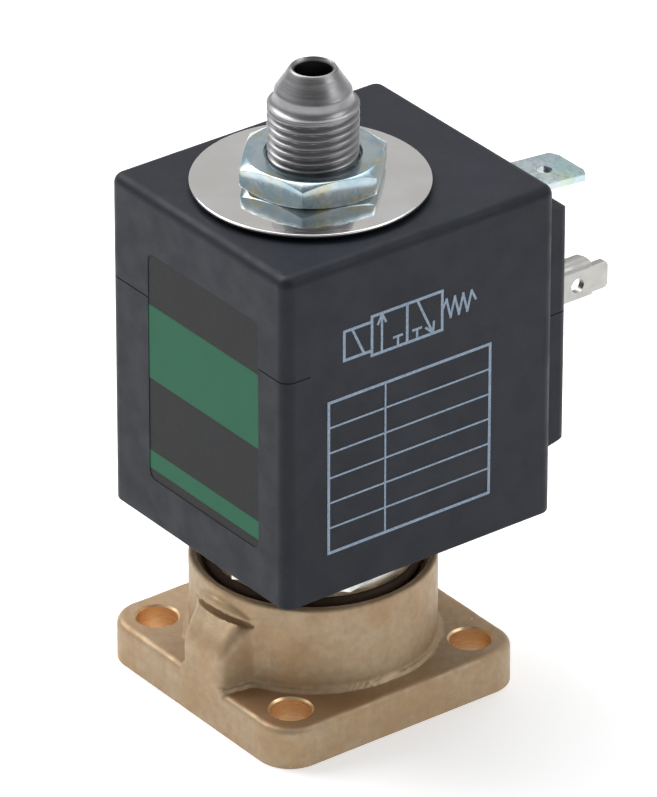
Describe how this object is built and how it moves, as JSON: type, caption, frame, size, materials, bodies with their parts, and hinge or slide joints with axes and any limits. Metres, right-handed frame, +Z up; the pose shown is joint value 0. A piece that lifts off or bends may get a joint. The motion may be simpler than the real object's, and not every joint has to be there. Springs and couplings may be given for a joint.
{
  "type": "solenoid valve",
  "caption": "Flange-mounted direct-acting solenoid valve with a moulded coil on a threaded stem, blade terminals and ports in its base.",
  "frame": {"origin": "centre of the flange's lower face, on the stem's axis", "axes": "+Z up along the stem; -Y is the coil's label face; +Y is the side with the blade terminals; +X is the plain side face beside them"},
  "size_m": [0.0324, 0.0516, 0.0725],
  "materials": {
    "forged_brass": "dull as-forged brass with bright drilled holes",
    "tube_base_plating": "bright nickel plating",
    "guide_tube_steel": "drawn stainless tube",
    "core_steel": "grey turned ferritic stainless steel",
    "shading_copper": "bare copper",
    "plunger_steel": "ground ferritic stainless steel",
    "seal_rubber": "black sealing rubber",
    "spring_steel": "drawn stainless spring wire",
    "oring_rubber": "black O-ring rubber",
    "spring_washer_steel": "dark oiled spring steel",
    "washer_polish": "polished plated steel, mirror-like",
    "zinc_plating": "bright zinc plating with a faint blue and yellow cast",
    "coil_moulding": "fine satin charcoal moulding",
    "label_film": "matt black film with two plain green bands",
    "yoke_steel": "plain mild steel strip",
    "bobbin_plastic": "natural glass-filled plastic",
    "enamelled_copper": "enamelled copper wire",
    "polyester_tape": "amber polyester tape",
    "tinned_brass": "matt tin plating on brass",
    "lead_insulation": "thin insulated lead"
  },
  "bodies": {
    "valve": {"valve_body": "forged_brass", "inlet_oring": "oring_rubber", "outlet_oring": "oring_rubber", "tube_base": "tube_base_plating", "tube_oring": "oring_rubber", "guide_tube": "guide_tube_steel", "fixed_core": "core_steel", "shading_ring": "shading_copper", "return_spring": "spring_steel", "spring_washer": "spring_washer_steel", "disc_washer": "washer_polish", "coil_nut": "zinc_plating"},
    "coil": {"coil_housing": "coil_moulding", "coil_label": "label_film", "yoke_frame": "yoke_steel", "bobbin": "bobbin_plastic", "copper_winding": "enamelled_copper", "winding_tape": "polyester_tape", "earth_terminal": "zinc_plating", "line_terminal_left": "tinned_brass", "line_terminal_right": "tinned_brass", "lead_wire_left": "lead_insulation", "lead_wire_right": "lead_insulation"},
    "plunger": {"plunger": "plunger_steel", "plunger_seal": "seal_rubber", "exhaust_seal_spring": "spring_steel"},
    "exhaust_seal": {"exhaust_seal": "seal_rubber"}
  },
  "joints": [
    {"name": "coil_swivel", "type": "hinge", "parent": "valve", "child": "coil", "pos_m": [0, 0, 0.0387], "axis": [0, 0, 1], "continuous": true},
    {"name": "plunger_stroke", "type": "slide", "parent": "valve", "child": "plunger", "axis": [0, 0, 1], "range_m": [0, 0.0012], "stiffness_N_per_m": 700, "springref_m": -0.003, "deforming": ["return_spring"]},
    {"name": "exhaust_seal_travel", "type": "slide", "parent": "plunger", "child": "exhaust_seal", "axis": [0, 0, 1], "range_m": [-0.0003, 0], "stiffness_N_per_m": 100, "springref_m": 0.0002, "deforming": ["exhaust_seal_spring"]}
  ],
  "couplings": [
    {"joint": "exhaust_seal_travel", "follows": "plunger_stroke", "ratio": -0.25}
  ]
}
